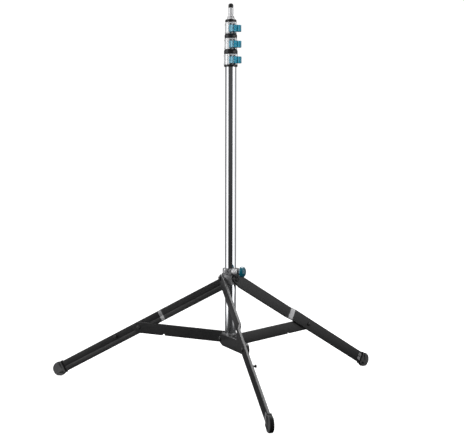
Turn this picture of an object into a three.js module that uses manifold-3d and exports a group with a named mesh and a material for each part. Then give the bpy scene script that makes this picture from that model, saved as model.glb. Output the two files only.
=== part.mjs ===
// Free-standing lighting stand: a chrome mast of four nested tubes with screw clamps, on three folding
// legs that swirl round the mast. Millimetres, +Z up, floor at z = 0, the first leg points along -Y.
import * as THREE from "three";
import { mergeVertices } from "three/addons/utils/BufferGeometryUtils.js";
import Module from "manifold-3d";

const wasm = await Module();
wasm.setup();

const GAP = 0.3; // between pieces that touch or slide

// Mast: outer radius of each tube, largest first, and the heights of its ends when retracted.
const WALL = 1.5;
const TUBE_R = [17.5, 15, 12.5, 10];
const TUBE_BOTTOM = [139.7, 167, 193, 219];
const BUSH_FLANGE = 8;
const BUSH_STEM = 14;

// Clamps stand on top of one another when the mast is retracted.
const CLAMP_PITCH = 49;
const FIRST_RING_FOOT = 1048.9;
const RING_H = [14, 13.4, 9.2];
const RING_CHAMFER = { foot: [0.4, 1.5], top: [2, 4] }; // how far in, how far along
const CLAMP_R = [21.3, 19.6, 18];
const CLAMP_SOCKET = 8; // length of outer tube held inside each clamp
const SKIRT_H = 6;
const FIRST_CLAMP_FOOT = 1015.5;
const LUG_W = 26;
const LUG_OUT = 1.5;
const KNOB_AZIMUTH = 0; // degrees from -Y towards +X
const SCREW_R = 4;
const POCKET_R = 1.9;
const POCKET_DEPTH = 1.6;
const POCKET_RISE = 12.6;
const POCKET_SIDE = 5;
const SIDE_POCKETS_AZIMUTH = -96;
const KNOB_DROP = 3; // below the middle of the clamp

// Clamp knob: an upright fluted bar, longer on one side of its screw than on the other.
const BAR = { short: 13, long: 25.5, height: 21.2, depth: 13, flutes: 6, fluteDepth: 0.9 };
const KNOB_NECK = { r: 7, length: 3 };
const SCREW_IN_BAR = 8; // length of screw held in the bar

// Spigot on the top tube.
const FLANGE = { r: 12.2, edge: 2.4, coneTop: 11 };
const NECK = { r: 7, from: 11.6, to: 13.2 };
const PIN_R = 8;
const PIN_TOP = 1192.2;
const PIN_STEM = { r: 5, length: 7 }; // inside the cap
const CAP_R = 7.8;
const CAP_TOP = 1206.7;

// Leg frame: distance along each leg's own vertical plane from the mast axis.
const FOOT_REACH = 604;
const FOOT_HEIGHT = 22.7;
const PIVOT_REACH = -4;
const LEG_SLOPE = THREE.MathUtils.degToRad(28.17);
const LEG_LENGTH = (FOOT_REACH - PIVOT_REACH) / Math.cos(LEG_SLOPE);
const COLLAR_PIVOT_Z = FOOT_HEIGHT + LEG_LENGTH * Math.sin(LEG_SLOPE);
const JOINT_AT = 367; // along the leg, from its collar pivot to the brace
const HUB_PIVOT_Z = 156.1;
const LEG_H = 36.8;
const BRACE_H = 36.4;
const BAR_T = 8;
const LEG_WALL = 1.5;
const CHANNEL_END = 12; // solid length at the joint end of a brace, which is a channel open below
const END_R = 12.5; // leg end at its collar pivot, brace end at its hub pivot
const TAPER = 26; // from that pivot to the full height of the bar
const INNER_LAYER = 24.6; // from the mast axis to the near face of the leg top and the brace
const OUTER_LAYER = INNER_LAYER + BAR_T + GAP;
const JOGGLE = [269, 287];
const SEAM_W = 3;
const SEAM_DEPTH = 0.8;
const SEAM_AT = -2; // above the leg's centre line
const BOLT_R = 4;
const PIVOT_HEAD = { r: 8, edge: 3.5, crownR: 6, thick: 5 };
const JOINT_HEAD = { r: 6.5, edge: 2.5, crownR: 4.5, thick: 4 };
const JOINT_NUT_T = 3;
const CATCH_R = 3;
const CATCH_AT = [88, 9]; // beyond the brace joint, above the leg's centre line
const CATCH_HEAD = { r: 5, thick: 3.6, chamfer: 1 };
const NOTCH_R = 5; // in the brace, over the catch pin when folded
const PLATE = { from: 17, to: 3, half: 12, thick: 1.2, groove: 1.2, grooveDepth: 0.7 };

// Boot.
const BOOT_R = 23.5;
const BOOT_T = 14;
const MOUTH_AT = -17;
const MOUTH_HALF = 20.2;
const LIP = 3;
const LIP_OUT = 1;

// Castings on the mast: a cylinder with three flats, one for each leg.
const FLAT_AT = INNER_LAYER - GAP;
const CAST_R = 31;
const HUB_Z = [135.4, 173.4];
const COLLAR_Z = [330.4, 380.4];
const COLLAR_RING_R = 25;
const COLLAR_RING_Z = 363.4;
const CLAMP_SCREW_Z = 371.4;
const CLAMP_SCREW_AZIMUTH = 60;
const CLAMP_SCREW_OFFSET = 24;
const EAR = { from: -9, to: 11, near: 15, far: 32, low: 360.4 };
const SPLIT_W = 2.4;
const SLEEVE = { r: 8, from: 11.3, to: 38 };
const SLEEVE_FLANGE = { r: 11.5, from: 31, to: 34 };
const SLEEVE_STEM = 8; // inside the round knob
const CLAMP_NUT_T = 4;
const ROUND_KNOB = { r: 16.8, from: 38.3, to: 56.5 };

// Derived: each brace runs from the joint on its leg to the hub.
const JOINT_Z = COLLAR_PIVOT_Z - JOINT_AT * Math.sin(LEG_SLOPE);
const BRACE_RUN = JOINT_AT * Math.cos(LEG_SLOPE);
const BRACE_LENGTH = Math.hypot(BRACE_RUN, JOINT_Z - HUB_PIVOT_Z);
const BRACE_SLOPE = -Math.atan2(JOINT_Z - HUB_PIVOT_Z, BRACE_RUN);

const chrome = () => new THREE.MeshStandardMaterial({ color: 0xd8dadc, roughness: 0.12, metalness: 1 });
const castAlloy = () => new THREE.MeshStandardMaterial({ color: 0xc2c5c8, roughness: 0.42, metalness: 0.9 });
const blackPaint = () => new THREE.MeshStandardMaterial({ color: 0x1b1b1d, roughness: 0.45, metalness: 0.3 });
const blackPlastic = () => new THREE.MeshStandardMaterial({ color: 0x161617, roughness: 0.55, metalness: 0 });
const bluePlastic = () => new THREE.MeshStandardMaterial({ color: 0x1f86a8, roughness: 0.3, metalness: 0 });
const rubber = () => new THREE.MeshStandardMaterial({ color: 0x2b2b2d, roughness: 0.85, metalness: 0 });
const steel = () => new THREE.MeshStandardMaterial({ color: 0x9a9da1, roughness: 0.35, metalness: 1 });

// ---- solids ----

function solid(geometry) {
  const bare = geometry.index ? geometry.toNonIndexed() : geometry.clone();
  bare.deleteAttribute("normal");
  bare.deleteAttribute("uv");
  const merged = mergeVertices(bare, 1e-4);
  return new wasm.Manifold(
    new wasm.Mesh({
      numProp: 3,
      vertProperties: new Float32Array(merged.attributes.position.array),
      triVerts: new Uint32Array(merged.index.array),
    }),
  );
}

// A solid of revolution about +Z; the profile runs [radius, z] anticlockwise.
function turned(profile, sides = 32) {
  const points = [...profile, profile[0]].map(([r, z]) => new THREE.Vector2(r, z));
  return solid(new THREE.LatheGeometry(points, sides).rotateX(Math.PI / 2));
}

function tube(outer, inner, low, high, sides) {
  return turned([[inner, low], [outer, low], [outer, high], [inner, high]], sides);
}

// A solid rod: its profile starts and ends on the axis.
function rod(steps, sides = 16) {
  const points = [[0, steps[0][1]], ...steps, [0, steps[steps.length - 1][1]]];
  const outline = points.map(([r, z]) => new THREE.Vector2(r, z));
  return solid(new THREE.LatheGeometry(outline, sides).rotateX(Math.PI / 2));
}

function cylinder(r, low, high, sides) {
  return rod([[r, low], [r, high]], sides);
}

function prism(points, low, high) {
  const shape = new THREE.Shape(points.map(([x, y]) => new THREE.Vector2(x, y)));
  const body = new THREE.ExtrudeGeometry(shape, { depth: high - low, bevelEnabled: false });
  return solid(body.translate(0, 0, low));
}

function box([x0, x1], [y0, y1], [z0, z1]) {
  return prism([[x0, y0], [x1, y0], [x1, y1], [x0, y1]], z0, z1);
}

function arc(cx, cy, r, fromDegrees, toDegrees, steps) {
  return Array.from({ length: steps + 1 }, (_, i) => {
    const a = THREE.MathUtils.degToRad(fromDegrees + ((toDegrees - fromDegrees) * i) / steps);
    return [cx + r * Math.cos(a), cy + r * Math.sin(a)];
  });
}

function moved(body, matrix) {
  return body.transform(matrix.elements);
}

const stand = new THREE.Group();

function add(name, body, material) {
  const { numProp, vertProperties, triVerts } = body.getMesh();
  const position = new Float32Array((vertProperties.length / numProp) * 3);
  for (let i = 0; i < position.length / 3; i++) {
    position.set(vertProperties.subarray(i * numProp, i * numProp + 3), i * 3);
  }
  const geometry = new THREE.BufferGeometry();
  geometry.setAttribute("position", new THREE.BufferAttribute(position, 3));
  geometry.setIndex(new THREE.BufferAttribute(triVerts, 1));
  geometry.computeVertexNormals();
  const mesh = new THREE.Mesh(geometry, material);
  mesh.name = name;
  stand.add(mesh);
}

// ---- frames ----

// Unit vector at an azimuth in degrees from -Y towards +X.
function heading(azimuth) {
  const a = THREE.MathUtils.degToRad(azimuth);
  return new THREE.Vector3(Math.sin(a), -Math.cos(a), 0);
}

const UP = new THREE.Vector3(0, 0, 1);

// Frame of a radial screw: local +Z points outwards at the azimuth, local +Y is up.
function radialFrame(azimuth, height) {
  const out = heading(azimuth);
  const across = new THREE.Vector3().crossVectors(UP, out);
  return new THREE.Matrix4().makeBasis(across, UP, out).setPosition(0, 0, height);
}

// Frame of a bar in a leg's plane: +X along the bar at a downward slope, +Z away from the mast.
function barFrame(azimuth, reach, height, slope) {
  const out = heading(azimuth);
  const away = new THREE.Vector3().crossVectors(out, UP);
  const along = out.clone().multiplyScalar(Math.cos(slope)).addScaledVector(UP, -Math.sin(slope));
  const above = new THREE.Vector3().crossVectors(away, along);
  const origin = out.clone().multiplyScalar(reach).addScaledVector(UP, height);
  return new THREE.Matrix4().makeBasis(along, above, away).setPosition(origin);
}

// ---- mast ----

const ringFoot = (i) => FIRST_RING_FOOT + i * CLAMP_PITCH;
const ringTop = (i) => ringFoot(i) + RING_H[i];
const clampTop = (i) => ringFoot(i) - GAP;
const clampBottom = (i) => (i ? ringTop(i - 1) + GAP : FIRST_CLAMP_FOOT);
const knobHeight = (i) => (clampBottom(i) + clampTop(i)) / 2 - KNOB_DROP;
const tubeTop = (i) => (i < 3 ? clampBottom(i) + CLAMP_SOCKET : ringTop(2) + GAP);

function addTubes() {
  TUBE_R.forEach((r, i) => {
    const name = i ? `riser_${i}_tube` : "base_tube";
    add(name, tube(r, r - WALL, TUBE_BOTTOM[i], tubeTop(i)), chrome());
  });
}

// Plug in the foot of a riser: its flange runs inside the next tube out.
function addBush(i) {
  const end = TUBE_BOTTOM[i];
  const flange = TUBE_R[i - 1] - WALL - GAP;
  const stem = TUBE_R[i] - WALL - GAP;
  const bush = rod([
    [flange, end - BUSH_FLANGE - GAP],
    [flange, end - GAP],
    [stem, end - GAP],
    [stem, end + BUSH_STEM],
  ]);
  add(`riser_${i}_bush`, bush, blackPlastic());
}

function clampBody(i) {
  const r = CLAMP_R[i];
  const held = TUBE_R[i] + GAP;
  const sliding = TUBE_R[i + 1] + GAP;
  const low = clampBottom(i);
  const high = clampTop(i);
  const level = knobHeight(i);
  const frame = radialFrame(KNOB_AZIMUTH, level);
  const pad = box([-LUG_W / 2, LUG_W / 2], [low - level, high - level], [TUBE_R[i], r + LUG_OUT]);
  const lug = moved(pad, frame);
  const bore = turned([
    [0, low - 1],
    [held, low - 1],
    [held, low + CLAMP_SOCKET + GAP],
    [sliding, low + CLAMP_SOCKET + GAP],
    [sliding, high + 1],
    [0, high + 1],
  ]);
  let body = cylinder(r, low, high, 36).add(lug).subtract(bore);
  body = body.subtract(moved(cylinder(SCREW_R + GAP, 0, r + 9), frame));
  const beside = radialFrame(SIDE_POCKETS_AZIMUTH, level);
  for (const rise of [-POCKET_RISE, POCKET_RISE]) {
    for (const side of [-POCKET_SIDE, POCKET_SIDE]) {
      const pocket = cylinder(POCKET_R, r + LUG_OUT - POCKET_DEPTH, r + 9, 10);
      body = body.subtract(moved(pocket.translate([side, rise, 0]), frame));
    }
    const hole = cylinder(POCKET_R, r - POCKET_DEPTH, r + 9, 10).translate([0, rise, 0]);
    body = body.subtract(moved(hole, beside));
  }
  return body;
}

function addClamp(i) {
  const n = i + 1;
  const r = CLAMP_R[i];
  const inner = TUBE_R[i + 1] + GAP;
  const low = ringFoot(i);
  const top = ringTop(i);
  const { foot, top: rim } = RING_CHAMFER;
  add(`clamp_${n}`, clampBody(i), castAlloy());
  const ring = turned([
    [inner, low],
    [r - foot[0], low],
    [r, low + foot[1]],
    [r, top - rim[1]],
    [r - rim[0], top],
    [inner, top],
  ], 36);
  add(`clamp_${n}_ring`, ring, blackPlastic());
}

function addSkirt() {
  const top = clampBottom(0) - GAP;
  const inner = TUBE_R[0] + GAP;
  const r = CLAMP_R[0];
  const skirt = turned([
    [inner, top - SKIRT_H],
    [r - 1.5, top - SKIRT_H],
    [r, top - SKIRT_H + 2],
    [r, top],
    [inner, top],
  ], 36);
  add("clamp_1_skirt", skirt, blackPlastic());
}

// Outline of the knob's bar seen from above: upright flutes on both broad faces.
function flutedOutline() {
  const { short, long, depth, flutes, fluteDepth } = BAR;
  const steps = flutes * 4;
  const edge = 2.5;
  const run = short + long - 2 * edge;
  const face = (sign) =>
    Array.from({ length: steps + 1 }, (_, i) => {
      const x = -short + edge + (run * i) / steps;
      const dip = (fluteDepth * (1 + Math.cos((2 * Math.PI * i) / 4))) / 2;
      return [x, sign * (depth / 2 - dip)];
    });
  const flank = depth / 2 - 3.4;
  const back = face(1).reverse();
  return [...face(-1), [long, -flank], [long, flank], ...back, [-short, flank], [-short, -flank]];
}

function addKnob(i) {
  const n = i + 1;
  const r = CLAMP_R[i];
  const frame = radialFrame(KNOB_AZIMUTH, knobHeight(i));
  const neckFrom = r + LUG_OUT + 2 * GAP;
  const barFrom = neckFrom + KNOB_NECK.length;
  const middle = barFrom + BAR.depth / 2;
  const upright = new THREE.Matrix4().makeRotationX(-Math.PI / 2).setPosition(0, 0, middle);
  const bar = moved(prism(flutedOutline(), -BAR.height / 2, BAR.height / 2), upright);
  const screwEnd = barFrom + SCREW_IN_BAR;
  const knob = bar
    .add(cylinder(KNOB_NECK.r, neckFrom, barFrom + 1))
    .subtract(cylinder(SCREW_R + GAP, 0, screwEnd + GAP));
  add(`t_knob_${n}`, moved(knob, frame), bluePlastic());
  const screw = rod([
    [2.5, TUBE_R[i + 1] + GAP],
    [SCREW_R, TUBE_R[i + 1] + 2],
    [SCREW_R, screwEnd],
  ]);
  add(`t_knob_${n}_screw`, moved(screw, frame), steel());
}

function addSpigot() {
  const base = tubeTop(3) + GAP;
  const stem = TUBE_R[3] - WALL - GAP;
  const spigot = rod([
    [stem, base - 26],
    [stem, base],
    [FLANGE.r, base],
    [FLANGE.r, base + FLANGE.edge],
    [PIN_R, base + FLANGE.coneTop],
    [NECK.r, base + NECK.from],
    [NECK.r, base + NECK.to],
    [PIN_R, base + NECK.to + 0.6],
    [PIN_R, PIN_TOP - 0.8],
    [PIN_R - 0.8, PIN_TOP],
    [PIN_STEM.r, PIN_TOP],
    [PIN_STEM.r, PIN_TOP + PIN_STEM.length],
  ], 24);
  add("spigot", spigot, steel());
  const low = PIN_TOP + GAP;
  const shoulder = CAP_TOP - CAP_R;
  const dome = arc(0, shoulder, CAP_R, 0, 90, 5).map(([r, z], k) => [k === 5 ? 0 : r, z]);
  const stemEnd = PIN_TOP + PIN_STEM.length + GAP;
  const cap = turned([
    [0, stemEnd],
    [PIN_STEM.r + GAP, stemEnd],
    [PIN_STEM.r + GAP, low],
    [CAP_R, low],
    ...dome,
  ], 24);
  add("spigot_cap", cap, rubber());
}

// ---- castings round the mast ----

const LEG_AZIMUTHS = { a: 0, b: 120, c: -120 };

function threeFlats(low, high, r) {
  let body = cylinder(r, low, high, 48);
  for (const azimuth of Object.values(LEG_AZIMUTHS)) {
    const frame = barFrame(azimuth, 0, 0, 0);
    body = body.subtract(moved(box([-60, 60], [low - 1, high + 1], [FLAT_AT, 60]), frame));
  }
  return body;
}

const PIVOT_HOLE_FROM = TUBE_R[0] + GAP + 0.8; // just short of the bore

function pivotHoles(body, height) {
  let drilled = body;
  for (const azimuth of Object.values(LEG_AZIMUTHS)) {
    const frame = barFrame(azimuth, PIVOT_REACH, height, 0);
    drilled = drilled.subtract(moved(cylinder(BOLT_R + GAP, PIVOT_HOLE_FROM, 40), frame));
  }
  return drilled;
}

function addBaseHub() {
  const [low, high] = HUB_Z;
  const bore = cylinder(TUBE_R[0] + GAP, TUBE_BOTTOM[0] - GAP, high + 1, 32);
  add("base_hub", threeFlats(low, high, CAST_R).subtract(bore), blackPaint());
}

function clampScrewFrame() {
  const along = heading(CLAMP_SCREW_AZIMUTH);
  const across = new THREE.Vector3().crossVectors(UP, along);
  const origin = across.clone().multiplyScalar(-CLAMP_SCREW_OFFSET);
  return new THREE.Matrix4()
    .makeBasis(across, UP, along)
    .setPosition(origin.x, origin.y, CLAMP_SCREW_Z);
}

function addLegCollar() {
  const [low, high] = COLLAR_Z;
  const frame = clampScrewFrame();
  const near = CLAMP_SCREW_OFFSET - EAR.near;
  const far = CLAMP_SCREW_OFFSET - EAR.far;
  const rise = [EAR.low - CLAMP_SCREW_Z, high - CLAMP_SCREW_Z];
  const ears = moved(box([far, near], rise, [EAR.from, EAR.to]), frame);
  const split = moved(box([far - 1, near + 1], [rise[0] - 1, rise[1] + 1], [0, SPLIT_W]), frame);
  const bore = cylinder(TUBE_R[0] + GAP, low - 1, high + 1, 32);
  let body = threeFlats(low, COLLAR_RING_Z, CAST_R)
    .add(cylinder(COLLAR_RING_R, COLLAR_RING_Z - 1, high, 36))
    .add(ears)
    .subtract(split)
    .subtract(bore)
    .subtract(moved(cylinder(SCREW_R + GAP, -40, 40), frame))
    .subtract(moved(cylinder(SLEEVE.r + GAP, -40, EAR.from), frame))
    .subtract(moved(cylinder(SLEEVE.r + GAP, EAR.to, 40), frame));
  add("leg_collar", pivotHoles(body, COLLAR_PIVOT_Z), castAlloy());

  const screw = rod([
    [SLEEVE.r, EAR.from - CLAMP_NUT_T],
    [SLEEVE.r, EAR.from - GAP],
    [SCREW_R, EAR.from - GAP],
    [SCREW_R, SLEEVE.from],
    [SLEEVE.r, SLEEVE.from],
    [SLEEVE.r, SLEEVE_FLANGE.from],
    [SLEEVE_FLANGE.r, SLEEVE_FLANGE.from],
    [SLEEVE_FLANGE.r, SLEEVE_FLANGE.to],
    [SLEEVE.r, SLEEVE_FLANGE.to],
    [SLEEVE.r, SLEEVE.to],
    [SCREW_R, SLEEVE.to],
    [SCREW_R, SLEEVE.to + SLEEVE_STEM],
  ]);
  add("collar_knob_screw", moved(screw, frame), chrome());
  const { r, from, to } = ROUND_KNOB;
  const knob = turned([
    [0, SLEEVE.to + SLEEVE_STEM + GAP],
    [SCREW_R + GAP, SLEEVE.to + SLEEVE_STEM + GAP],
    [SCREW_R + GAP, from],
    [r - 2.5, from],
    [r - 0.5, from + 1.5],
    [r, from + 4],
    [r, from + 9],
    [r - 1.2, from + 12.5],
    [r - 4, from + 15.6],
    [r - 8, to - 0.6],
    [0, to],
  ], 28);
  add("collar_knob", moved(knob, frame), bluePlastic());
}

// ---- legs and braces ----

// The outer end of a bolt: its shank up to the head, then the head with a chamfered crown.
function boltHead({ r, edge, crownR, thick }, at) {
  return [[BOLT_R, at], [r, at], [r, at + edge], [crownR, at + thick]];
}

// A strip that follows the leg's joggle, between two depths measured from the leg's near face.
function joggledStrip(fromX, toX, near, far, below, above) {
  const [start, end] = JOGGLE;
  const outline = [
    [fromX, INNER_LAYER + near],
    [start, INNER_LAYER + near],
    [end, OUTER_LAYER + near],
    [toX, OUTER_LAYER + near],
    [toX, OUTER_LAYER + far],
    [end, OUTER_LAYER + far],
    [start, INNER_LAYER + far],
    [fromX, INNER_LAYER + far],
  ];
  return prism(outline, below, above).rotate([90, 0, 0]);
}

function addLeg(key, azimuth) {
  const frame = barFrame(azimuth, PIVOT_REACH, COLLAR_PIVOT_Z, LEG_SLOPE);
  const put = (part, body, material) => add(`leg_${key}_${part}`, moved(body, frame), material);
  const half = LEG_H / 2;
  const tip = LEG_LENGTH + 2;
  const outline = [
    ...arc(0, 0, END_R, 100, 260, 10),
    [TAPER, -half],
    [tip, -half],
    [tip, half],
    [TAPER, half],
  ];
  const side = prism(outline, INNER_LAYER - 5, OUTER_LAYER + BAR_T + 5);
  const core = half - LEG_WALL;
  const [catchX, catchY] = [JOINT_AT + CATCH_AT[0], CATCH_AT[1]];
  const through = (r, x, y) => cylinder(r, 0, 60).translate([x, y, 0]);
  const bar = joggledStrip(-20, tip, 0, BAR_T, -half, half)
    .intersect(side)
    .subtract(joggledStrip(24, tip + 1, LEG_WALL, BAR_T - LEG_WALL, -core, core))
    .subtract(joggledStrip(40, tip + 1, -1, SEAM_DEPTH, SEAM_AT - SEAM_W / 2, SEAM_AT + SEAM_W / 2))
    .subtract(through(BOLT_R + GAP, 0, 0))
    .subtract(through(BOLT_R + GAP, JOINT_AT, 0))
    .subtract(through(CATCH_R + GAP, catchX, catchY));
  put("bar", bar, blackPaint());

  const mouth = LEG_LENGTH + MOUTH_AT;
  const middle = OUTER_LAYER + BAR_T / 2;
  const wrap = 180 - THREE.MathUtils.radToDeg(Math.asin(MOUTH_HALF / BOOT_R));
  const lipHalf = MOUTH_HALF + LIP_OUT;
  const bootOutline = [
    ...arc(LEG_LENGTH, 0, BOOT_R, -wrap, wrap, 24),
    [mouth, MOUTH_HALF],
    [mouth, lipHalf],
    [mouth - LIP, lipHalf],
    [mouth - LIP, -lipHalf],
    [mouth, -lipHalf],
    [mouth, -MOUTH_HALF],
  ];
  const pocket = box(
    [mouth - LIP - 1, tip + GAP],
    [-half - GAP, half + GAP],
    [OUTER_LAYER - GAP, OUTER_LAYER + BAR_T + GAP],
  );
  const boot = moved(
    prism(bootOutline, middle - BOOT_T / 2, middle + BOOT_T / 2).subtract(pocket),
    frame,
  );
  const floor = box([-900, 900], [-900, 900], [-20, 0]);
  add(`leg_${key}_boot`, boot.subtract(floor), rubber());

  const inner = INNER_LAYER - GAP;
  const outer = OUTER_LAYER + BAR_T + GAP;
  const jointBolt = rod([
    [JOINT_HEAD.r, inner - JOINT_NUT_T],
    [JOINT_HEAD.r, inner],
    [BOLT_R, inner],
    ...boltHead(JOINT_HEAD, outer),
  ]).translate([JOINT_AT, 0, 0]);
  put("brace_bolt", jointBolt, steel());

  const catchPin = rod([
    [CATCH_HEAD.r - CATCH_HEAD.chamfer, inner - CATCH_HEAD.thick],
    [CATCH_HEAD.r, inner - CATCH_HEAD.thick + CATCH_HEAD.chamfer],
    [CATCH_HEAD.r, inner],
    [CATCH_R, inner],
    [CATCH_R, OUTER_LAYER + BAR_T],
  ]).translate([catchX, catchY, 0]);
  put("catch_pin", catchPin, blackPaint());

  const x0 = mouth - LIP - PLATE.from;
  const x1 = mouth - LIP - PLATE.to;
  const groove = box([x0 - 1, x1 + 1], [-PLATE.groove, PLATE.groove], [outer + PLATE.grooveDepth, outer + 3]);
  const plate = box([x0, x1], [-PLATE.half, PLATE.half], [outer, outer + PLATE.thick]).subtract(groove);
  put("plate", plate, steel());
}

function addBrace(key, azimuth) {
  const frame = barFrame(azimuth, PIVOT_REACH, HUB_PIVOT_Z, BRACE_SLOPE);
  const half = BRACE_H / 2;
  const notchX = BRACE_LENGTH - CATCH_AT[0];
  const outline = [
    ...arc(0, 0, END_R, 100, 260, 10),
    [TAPER, -half],
    ...arc(notchX, -half, NOTCH_R, 180, 0, 8),
    ...arc(BRACE_LENGTH, 0, half, -90, 90, 16),
    [TAPER, half],
  ];
  const channel = box(
    [TAPER, BRACE_LENGTH - CHANNEL_END],
    [-half - 1, half - LEG_WALL],
    [INNER_LAYER + LEG_WALL, INNER_LAYER + BAR_T - LEG_WALL],
  );
  const brace = prism(outline, INNER_LAYER, INNER_LAYER + BAR_T)
    .subtract(channel)
    .subtract(cylinder(BOLT_R + GAP, 0, 60))
    .subtract(cylinder(BOLT_R + GAP, 0, 60).translate([BRACE_LENGTH, 0, 0]));
  add(`brace_${key}`, moved(brace, frame), blackPaint());
  const bolt = rod([[BOLT_R, INNER_LAYER + GAP], ...boltHead(PIVOT_HEAD, OUTER_LAYER)]);
  add(`brace_${key}_hub_bolt`, moved(bolt, frame), steel());
}

function addCollarBolt(key, azimuth) {
  const frame = barFrame(azimuth, PIVOT_REACH, COLLAR_PIVOT_Z, 0);
  const bolt = rod([[BOLT_R, PIVOT_HOLE_FROM + GAP], ...boltHead(PIVOT_HEAD, OUTER_LAYER)]);
  add(`collar_bolt_${key}`, moved(bolt, frame), blackPaint());
}

addBaseHub();
addTubes();
addSkirt();
for (const i of [0, 1, 2]) {
  addBush(i + 1);
  addClamp(i);
  addKnob(i);
}
addSpigot();
addLegCollar();
for (const [key, azimuth] of Object.entries(LEG_AZIMUTHS)) {
  addCollarBolt(key, azimuth);
  addLeg(key, azimuth);
  addBrace(key, azimuth);
}

// The origin is the middle of the footprint, on the floor.
const extent = new THREE.Box3().setFromObject(stand);
const middle = extent.getCenter(new THREE.Vector3());
stand.position.set(-middle.x, -middle.y, -extent.min.z);

export default new THREE.Group().add(stand);
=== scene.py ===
"""Looks of the lighting stand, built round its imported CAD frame.

Pieces are modelled in millimetres about the mast axis, and place() turns them into the frame's metres.
"""

import math

import bpy
from mathutils import Matrix, Vector


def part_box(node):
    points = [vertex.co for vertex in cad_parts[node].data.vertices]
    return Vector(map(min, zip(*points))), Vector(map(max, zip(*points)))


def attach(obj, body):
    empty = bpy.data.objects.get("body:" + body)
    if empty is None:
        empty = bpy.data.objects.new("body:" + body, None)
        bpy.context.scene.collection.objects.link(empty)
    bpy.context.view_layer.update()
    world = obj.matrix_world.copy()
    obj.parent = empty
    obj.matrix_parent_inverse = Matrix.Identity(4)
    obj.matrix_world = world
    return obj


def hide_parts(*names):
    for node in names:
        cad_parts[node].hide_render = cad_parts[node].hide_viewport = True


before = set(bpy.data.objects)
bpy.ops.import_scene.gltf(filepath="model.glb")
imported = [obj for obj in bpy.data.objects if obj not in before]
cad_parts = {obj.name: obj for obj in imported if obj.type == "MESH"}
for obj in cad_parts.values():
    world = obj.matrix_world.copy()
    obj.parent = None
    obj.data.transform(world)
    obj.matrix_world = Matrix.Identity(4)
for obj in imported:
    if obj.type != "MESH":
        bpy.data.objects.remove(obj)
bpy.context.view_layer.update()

# Up to the studio, lengths are in mm. Angles are in degrees, except slopes, which are in radians.
GAP = 0.3  # between neighbouring pieces, as in the CAD

# Mast
WALL = 1.5
TUBE_R = [17.5, 15, 12.5, 10]
CLAMP_PITCH = 49
FIRST_RING_FOOT = 1048.9
FIRST_CLAMP_FOOT = 1015.5
RING_H = [14, 13.4, 9.2]
CLAMP_R = [21.3, 19.6, 18]
SKIRT_H = 6
LUG_W = 26
LUG_OUT = 1.5
SEAM_AZIMUTH = 44
SEAM_DIP = 0.9
SEAM_SPREAD = 2.6  # from the seam's middle to its edge
POCKET_R = 1.9
POCKET_DEPTH = 1.6
POCKET_RISE = 12.6
POCKET_SIDE = 5
# wider than the pocket, so the black head also serves as painted shade of the pocket
SCREW_HEAD_R = 2.7
SIDE_POCKETS_AZIMUTH = -96
CLAMP_ROUNDING = 0.9
KNOB_DROP = 3
BAR_SHORT, BAR_LONG, BAR_HEIGHT, BAR_DEPTH = 13, 25.5, 21.2, 13
BAR_EDGE = 2.5  # plain stretch at each end of the flutes
FLUTES = 6
FLUTE_STEPS = 12
FLUTE_DEPTH = 0.9
GROOVE_DEPTH = 1.6  # every other flute is cut deeper along its middle
GROOVE_STEPS = 3  # from the middle of a groove to its edge, in steps of a flute
KNOB_HUB_R = 7  # between the bar and the clamp
KNOB_HUB_LENGTH = 3
SHEEN_SIDE = 1.5  # painted reflection: the bar is paler on the short side, up to here, for a softbox's sheen
FLANGE = {"r": 12.2, "edge": 2.4, "cone": 11}
NECK = {"r": 7, "from": 11.6, "to": 13.2}
GRUBS = {"count": 6, "r": 1.9, "turn": -14}
PIN_R = 8
PIN_TOP = 1192.2
CAP_R = 7.8
CAP_TOP = 1206.7

# Legs
FOOT_REACH = 604
FOOT_HEIGHT = 22.7
PIVOT_REACH = -4
LEG_SLOPE = math.radians(28.17)
LEG_LENGTH = (FOOT_REACH - PIVOT_REACH) / math.cos(LEG_SLOPE)
COLLAR_PIVOT_Z = FOOT_HEIGHT + LEG_LENGTH * math.sin(LEG_SLOPE)
JOINT_AT = 367
HUB_PIVOT_Z = 156.1
LEG_H = 36.8
BRACE_H = 36.4
BAR_T = 8
BAR_ROUNDING = 1.2
END_R = 12.5
TAPER = 26  # where a bar reaches its full height
SHOULDER = (END_R * math.cos(math.radians(100)), END_R * math.sin(math.radians(100)))
INNER_LAYER = 24.6
OUTER_LAYER = INNER_LAYER + BAR_T + GAP
JOGGLE = (269, 287)
SEAM_AT = -2
SEAM_RISE = 0.7
SEAM_HALF = 1.7
CATCH_AT = (88, 9)
NOTCH_R = 5
PLATE = {"from": 17, "to": 3, "half": 12, "parting": 1.2, "thick": 1.2}
BOOT_R = 23.5
BOOT_T = 14
BOOT_ROUNDING = 2.6
MOUTH_AT = -17
MOUTH_HALF = 20.2
LIP = 3
LIP_OUT = 1
LEG_AZIMUTHS = {"a": 0, "b": 120, "c": -120}

# Castings
FLAT_AT = INNER_LAYER - GAP
CAST_R = 31
CAST_ROUNDING = 1.6
HUB_Z = (135.4, 173.4)
HUB_FLOOR_Z = (135.8, 138)
COLLAR_Z = (330.4, 380.4)
COLLAR_RING_R = 25
COLLAR_RING_Z = 363.4
CLAMP_SCREW_Z = 371.4
CLAMP_SCREW_AZIMUTH = 60
CLAMP_SCREW_OFFSET = 24
EAR = {"from": -9, "to": 11, "near": 15, "far": 32, "low": 360.4}
SPLIT_W = 2.4
SLEEVE = {"r": 8, "from": 11.3, "to": 38}
SLEEVE_FLANGE = {"r": 11.5, "from": 31, "to": 34}
KNOB = {"r": 16.8, "from": 38.3, "to": 56.5}

low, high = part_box("base_tube")
MAST = Matrix.Translation(((low.x + high.x) / 2, (low.y + high.y) / 2, 0)) @ Matrix.Scale(0.001, 4)


# ---- meshes ----


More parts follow.
